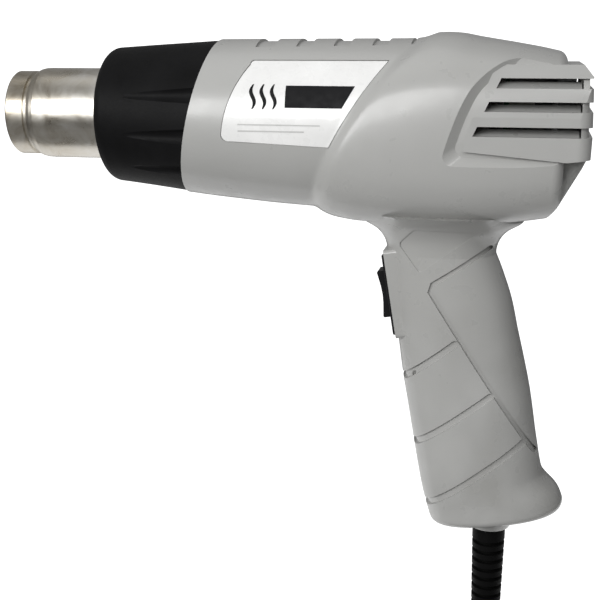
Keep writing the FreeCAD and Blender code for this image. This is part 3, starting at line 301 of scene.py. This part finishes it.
def nozzle_steel():
    """Polished steel, drawn round its axis, warmed by heat towards the mouth."""
    surface = Surface("nozzle_steel", (0.6, 0.57, 0.52), 0.2, metallic=1.0)
    rings = surface.noise(60.0, detail=4.0, place=surface.stretched((60.0, 1.0, 1.0)))
    stain = surface.noise(75.0, detail=5.0, roughness=0.65, warp=0.8)
    heat = surface.spread(surface.along("X"), 0.25, 0.0, start=TIP * MM, end=(TIP + 30.0) * MM)
    tone = surface.math("SUBTRACT", stain, heat)
    surface.color(surface.ramp(tone, (0.15, (0.40, 0.355, 0.28)), (0.42, (0.56, 0.53, 0.47)),
                               (0.62, (0.66, 0.64, 0.60))))
    surface.rough(surface.math("ADD", surface.spread(stain, 0.22, 0.38),
                               surface.math("MULTIPLY", rings, 0.06)))
    surface.bump(rings, depth=0.00004, strength=0.35)
    surface.bump(surface.noise(260.0, detail=3.0), depth=0.00005, strength=0.25)
    return surface.material


def plain_metal(name, color, roughness):
    """Bare metal with fine darker marks."""
    surface = Surface(name, color, roughness, metallic=1.0)
    marks = surface.noise(900.0, detail=4.0)
    surface.color(surface.ramp(marks, (0.3, tinted(color, 0.85)), (0.7, color)))
    surface.rough(surface.spread(marks, roughness - 0.06, roughness + 0.12))
    surface.bump(marks, depth=0.00002, strength=0.4)
    return surface.material


def moulded(name, color, roughness):
    """Moulded plastic, ceramic or carbon, slightly uneven in colour."""
    surface = Surface(name, color, roughness)
    marks = surface.noise(700.0, detail=3.0)
    surface.color(surface.ramp(surface.noise(120.0), (0.3, tinted(color, 0.88)), (0.7, color)))
    surface.rough(surface.spread(marks, roughness - 0.05, roughness + 0.1))
    surface.bump(marks, depth=0.00003, strength=0.4)
    return surface.material


def mica():
    """Layered mineral sheet with flaky sheen."""
    surface = Surface("mica", (0.5, 0.42, 0.28), 0.3, Sheen_Weight=0.2)
    flakes = surface.noise(500.0, detail=5.0, warp=1.0)
    surface.color(surface.ramp(flakes, (0.3, (0.38, 0.3, 0.18)), (0.7, (0.62, 0.54, 0.38))))
    surface.rough(surface.spread(flakes, 0.2, 0.5))
    surface.bump(flakes, depth=0.00004, strength=0.5)
    return surface.material


def woven(name, color):
    """Narrow woven tape or braid."""
    surface = Surface(name, color, 0.85, Sheen_Weight=0.25)
    wave = surface.nodes.new("ShaderNodeTexWave")
    wave.inputs["Scale"].default_value = 420.0
    wave.inputs["Distortion"].default_value = 1.5
    surface.links.new(surface.place, wave.inputs["Vector"])
    threads = wave.outputs["Fac"]
    surface.color(surface.ramp(threads, (0.2, tinted(color, 0.6)), (0.8, color)))
    surface.bump(threads, depth=0.0001, strength=0.6)
    return surface.material


MATERIALS = {
    "shell_plastic": shell_plastic(),
    "label_white": label_white(),
    "collar_black": grained_black("collar_black", (0.006, 0.006, 0.0063), 0.5),
    "nozzle_steel": nozzle_steel(),
    "zinc_steel": plain_metal("zinc_steel", (0.62, 0.62, 0.6), 0.3),
    "mica": mica(),
    "nichrome": plain_metal("nichrome", (0.33, 0.30, 0.28), 0.45),
    "ceramic_white": moulded("ceramic_white", (0.78, 0.75, 0.68), 0.6),
    "cutout_metal": plain_metal("cutout_metal", (0.68, 0.68, 0.68), 0.3),
    "duct_plastic": moulded("duct_plastic", (0.05, 0.05, 0.052), 0.5),
    "fan_plastic": moulded("fan_plastic", (0.09, 0.09, 0.095), 0.5),
    "motor_steel": plain_metal("motor_steel", (0.56, 0.57, 0.58), 0.25),
    "magnet_ferrite": moulded("magnet_ferrite", (0.05, 0.05, 0.055), 0.7),
    "motor_core": plain_metal("motor_core", (0.25, 0.25, 0.26), 0.5),
    "copper": plain_metal("copper", (0.72, 0.33, 0.18), 0.35),
    "bush_bronze": plain_metal("bush_bronze", (0.55, 0.36, 0.18), 0.45),
    "cap_plastic": moulded("cap_plastic", (0.68, 0.65, 0.58), 0.5),
    "carbon": moulded("carbon", (0.03, 0.03, 0.03), 0.6),
    "board_green": moulded("board_green", (0.03, 0.17, 0.08), 0.35),
    "switch_black": grained_black("switch_black", (0.012, 0.012, 0.013), 0.36,
                                  grain=1800.0, depth=0.00003),
    "tin_brass": plain_metal("tin_brass", (0.68, 0.64, 0.5), 0.35),
    "wire_blue": moulded("wire_blue", (0.03, 0.1, 0.42), 0.45),
    "wire_brown": moulded("wire_brown", (0.16, 0.06, 0.03), 0.45),
    "wire_sleeve": woven("wire_sleeve", (0.75, 0.72, 0.62)),
    "cord_rubber": grained_black("cord_rubber", (0.004, 0.004, 0.004), 0.5,
                                 grain=1500.0, depth=0.00004),
    "tie_black": woven("tie_black", (0.03, 0.03, 0.033)),
    "pin_nickel": plain_metal("pin_nickel", (0.72, 0.70, 0.64), 0.22),
}


def dress_frame():
    """Give every CAD node its own slot's material."""
    slots = {part["node"]: part["material_slot"] for part in frame["record"]["subparts"]}
    for name, node in frame["nodes"].items():
        node.data.materials.clear()
        node.data.materials.append(MATERIALS[slots[name]])


# ---- cord -------------------------------------------------------------------
def layer(progress):
    """How far across the hank a turn lies; a gap in the middle lets both ends through."""
    offset = progress - MIDDLE_TURN
    return LAYER_PITCH * offset + math.copysign(MIDDLE_GAP, offset)


def fold(progress, up):
    """Four points round a fold: over the top from -X to +X, or under from +X to -X."""
    inset = CORD_RADIUS + FOLD_RADIUS
    centre = HANK_TOP - inset if up > 0 else HANK_BOTTOM + inset
    reach = FOLD_RADIUS / math.cos(math.radians(FOLD_STEP / 2))
    points = []
    for degrees in FOLD_ANGLES:
        angle = math.radians(degrees)
        across = layer(progress + FOLD_SHIFT * degrees)
        points.append((CORD_X + up * reach * math.sin(angle), across,
                       centre + up * reach * math.cos(angle)))
    return points


def run(progress, side, outer):
    """Four points between two folds: up on the -X side, or down on the +X side.

    The tie draws the runs in at the middle, to an inner or an outer column.
    """
    wide = (FOLD_RADIUS - RUN_INSET, layer(progress))
    waist = (WAIST_OUTER if outer else WAIST_INNER,
             WAIST_SCALE * LAYER_PITCH * (progress - MIDDLE_TURN))
    downward = [(CORD_X + side * x, y, HANK_MIDDLE + height)
                for height, (x, y) in ((RUN_REACH, wide), (WAIST_REACH, waist),
                                       (-WAIST_REACH, waist), (-RUN_REACH, wide))]
    return downward if side > 0 else downward[::-1]


def cord_route():
    """Control points, mm: lead, folded hank and tail."""
    points = [(CORD_X, 0, RELIEF_END), (CORD_X, 0, -229), (200.2, -1.85, HANK_TOP),
              (CORD_X, -2.6, HANK_MIDDLE + 42),
              (CORD_X, -WAIST_CENTRE, HANK_MIDDLE + WAIST_REACH),
              (CORD_X + 1.0, -WAIST_CENTRE - 0.5, HANK_MIDDLE - WAIST_REACH),
              (CORD_X + 14.0, -14.0, HANK_MIDDLE - 26)]
    for turn in range(HANK_TURNS):
        points += fold(turn, -1)
        points += run(turn + 0.25, -1, turn % 2 == 0)
        points += fold(turn + 0.5, 1)
        if turn < HANK_TURNS - 1:
            points += run(turn + 0.75, 1, turn % 2 == 1)
    points += [(CORD_X + 14.0, 14.0, HANK_MIDDLE + 26),
               (CORD_X + 1.0, WAIST_CENTRE + 0.5, HANK_MIDDLE + WAIST_REACH),
               (CORD_X, WAIST_CENTRE, HANK_MIDDLE - WAIST_REACH),
               (CORD_X, 2.6, HANK_MIDDLE - 42),
               (CORD_X, 1.85, HANK_BOTTOM), (200.6, 1.0, -401), (199.9, 0, PLUG_TOP)]
    return points


def new_curve(name, points, radius):
    """Open NURBS curve of order 3 through control points in metres."""
    data = bpy.data.curves.new(name, "CURVE")
    data.dimensions = "3D"
    data.bevel_depth = radius
    data.bevel_resolution = 5
    data.resolution_u = 10
    data.use_fill_caps = True
    spline = data.splines.new("NURBS")
    spline.points.add(len(points) - 1)
    for point, place in zip(spline.points, points):
        point.co = (*place, 1.0)
    spline.order_u = 3
    spline.use_endpoint_u = True
    curve = bpy.data.objects.new(name, data)
    bpy.context.scene.collection.objects.link(curve)
    return curve


def add_cord():
    """Round mains cord in place of the CAD's lead, hank and tail."""
    cord = new_curve("mains_cord", [at(*p) for p in cord_route()], CORD_DIAMETER / 2)
    cord.data.materials.append(MATERIALS["cord_rubber"])
    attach(cord, "housing")
    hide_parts("cord_lead", "cord_hank", "cord_tail")


# ---- name plate print -------------------------------------------------------
def between(first, second, share):
    """Point this share of the way from the first to the second."""
    return tuple(a + (b - a) * share for a, b in zip(first, second))


def strip(low_left, low_right, high_left, high_right, rows=8, columns=24):
    """Grid of points between four corners, each an (x, z) pair."""
    grid = []
    for j in range(rows + 1):
        left = between(low_left, high_left, j / rows)
        right = between(low_right, high_right, j / rows)
        grid.append([between(left, right, i / columns) for i in range(columns + 1)])
    return grid


def heat_wave(x):
    """Upright wavy stroke, as used on heating symbols."""
    rows = []
    for i in range(WAVE_STEPS + 1):
        share = i / WAVE_STEPS
        middle = x + WAVE_SWAY * math.sin(2 * math.pi * share)
        half = WAVE_WIDTH / 2 * (WAVE_TAPER + (1 - WAVE_TAPER) * math.sin(math.pi * share))
        z = WAVE_LOW + (WAVE_HIGH - WAVE_LOW) * share
        rows.append([(middle - half, z), (middle, z), (middle + half, z)])
    return rows


def add_grid(mesh, rows):
    """Flat faces between rows of (x, z) points in mm, on the plane Y = 0."""
    grid = [[mesh.verts.new(at(x, 0, z)) for x, z in row] for row in rows]
    for low, high in zip(grid, grid[1:]):
        for i in range(len(low) - 1):
            mesh.faces.new((low[i], low[i + 1], high[i + 1], high[i]))


def print_on(name, strips, plate, side, material):
    """Thin ink layer: flat strips of (x, z) points in mm, laid on the plate."""
    mesh = bmesh.new()
    for rows in strips:
        add_grid(mesh, rows)
    tree = BVHTree.FromObject(plate, bpy.context.evaluated_depsgraph_get())
    for vertex in mesh.verts:
        start = Vector((vertex.co.x, side * OUTSIDE, vertex.co.z))
        hit = tree.ray_cast(start, Vector((0, -side, 0)))[0]
        vertex.co.y = (hit.y if hit else side * PLATE_Y) + side * INK_LIFT
    data = bpy.data.meshes.new(name)
    mesh.to_mesh(data)
    mesh.free()
    data.materials.append(material)
    piece = bpy.data.objects.new(name, data)
    bpy.context.scene.collection.objects.link(piece)
    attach(piece, "housing")


def add_label_print():
    """Generic heat symbol, a black band and two grey lines on both name plates."""
    black = label_ink()
    grey = label_grey()
    waves = [heat_wave(x) for x in WAVE_PLACES]
    band = strip((BAND_LEFT, BAND_LOW), (BAND_RIGHT, BAND_LOW),
                 (BAND_LEFT, BAND_HIGH), (BAND_RIGHT + BAND_SLANT, BAND_HIGH))
    lines = [strip((LINE_LEFT, z), (right, z),
                   (LINE_LEFT, z + LINE_HEIGHT), (right, z + LINE_HEIGHT), rows=1)
             for z, right in LINES]
    for plate, side in (("label_left", -1), ("label_right", 1)):
        node = frame["nodes"][plate]
        print_on(f"{plate}_waves", waves, node, side, black)
        print_on(f"{plate}_band", [band], node, side, black)
        print_on(f"{plate}_lines", lines, node, side, grey)


# ---- light and floor --------------------------------------------------------
def area_light(name, place, target, width, height, power):
    """Soft rectangular light, unseen by the camera."""
    data = bpy.data.lights.new(name, "AREA")
    data.shape = "RECTANGLE"
    data.size = width
    data.size_y = height
    data.energy = power
    light = bpy.data.objects.new(name, data)
    bpy.context.scene.collection.objects.link(light)
    light.visible_camera = False
    light.location = place
    light.rotation_euler = (Vector(target) - Vector(place)).to_track_quat("-Z", "Y").to_euler()


def by_camera(tree, seen, unseen):
    """A value that is one thing to the camera and another to every other ray."""
    path = tree.nodes.new("ShaderNodeLightPath")
    mix = tree.nodes.new("ShaderNodeMapRange")
    mix.inputs["To Min"].default_value = unseen
    mix.inputs["To Max"].default_value = seen
    tree.links.new(path.outputs["Is Camera Ray"], mix.inputs["Value"])
    return mix.outputs["Result"]


def add_floor():
    """Large pale floor under the plug's pins: white to the camera, duller to reflections."""
    mesh = bmesh.new()
    bmesh.ops.create_circle(mesh, cap_ends=True, radius=FLOOR_RADIUS, segments=96)
    data = bpy.data.meshes.new("floor")
    mesh.to_mesh(data)
    mesh.free()
    floor = bpy.data.objects.new("floor", data)
    floor.location = (0, 0, cad_box[0][2] - FLOOR_GAP)
    bpy.context.scene.collection.objects.link(floor)
    surface = Surface("floor", (FLOOR_TONE, FLOOR_TONE, FLOOR_TONE), 0.9, Specular_IOR_Level=0.1)
    surface.shader.inputs["Emission Color"].default_value = (1.0, 1.0, 1.0, 1.0)
    surface.links.new(by_camera(surface.material.node_tree, FLOOR_GLOW, 0.0),
                      surface.shader.inputs["Emission Strength"])
    data.materials.append(surface.material)


def add_sky():
    """White surroundings, dimmer as a light than they look to the camera."""
    world = bpy.data.worlds.new("studio")
    bpy.context.scene.world = world
    world.use_nodes = True
    background = world.node_tree.nodes["Background"]
    background.inputs["Color"].default_value = (1.0, 1.0, 1.0, 1.0)
    world.node_tree.links.new(by_camera(world.node_tree, SKY_GLOW, SKY_STRENGTH),
                              background.inputs["Strength"])


def add_lights():
    """Broad key from the front left, a small lamp, a soft top and a sheet from below."""
    area_light("key", place=(-0.44, -0.78, 0.36), target=(-0.05, 0, 0.10),
               width=0.80, height=0.36, power=7.0)
    area_light("lamp", place=(0.16, -0.62, 0.52), target=(0.02, 0, 0.06),
               width=0.12, height=0.12, power=0.7)
    area_light("top", place=(-0.25, -0.10, 0.95), target=(-0.02, 0, 0.08),
               width=0.9, height=0.5, power=0.75)
    area_light("sheet", place=(-0.12, 0.34, -0.36), target=(-0.12, 0.30, 0.2),
               width=1.4, height=0.85, power=3.6)


def keep_colours_plain():
    """Show colours as they are, without a film look."""
    bpy.context.scene.view_settings.view_transform = "Standard"


add_camera()
add_cord()
dress_frame()
add_label_print()
add_floor()
add_sky()
add_lights()
keep_colours_plain()
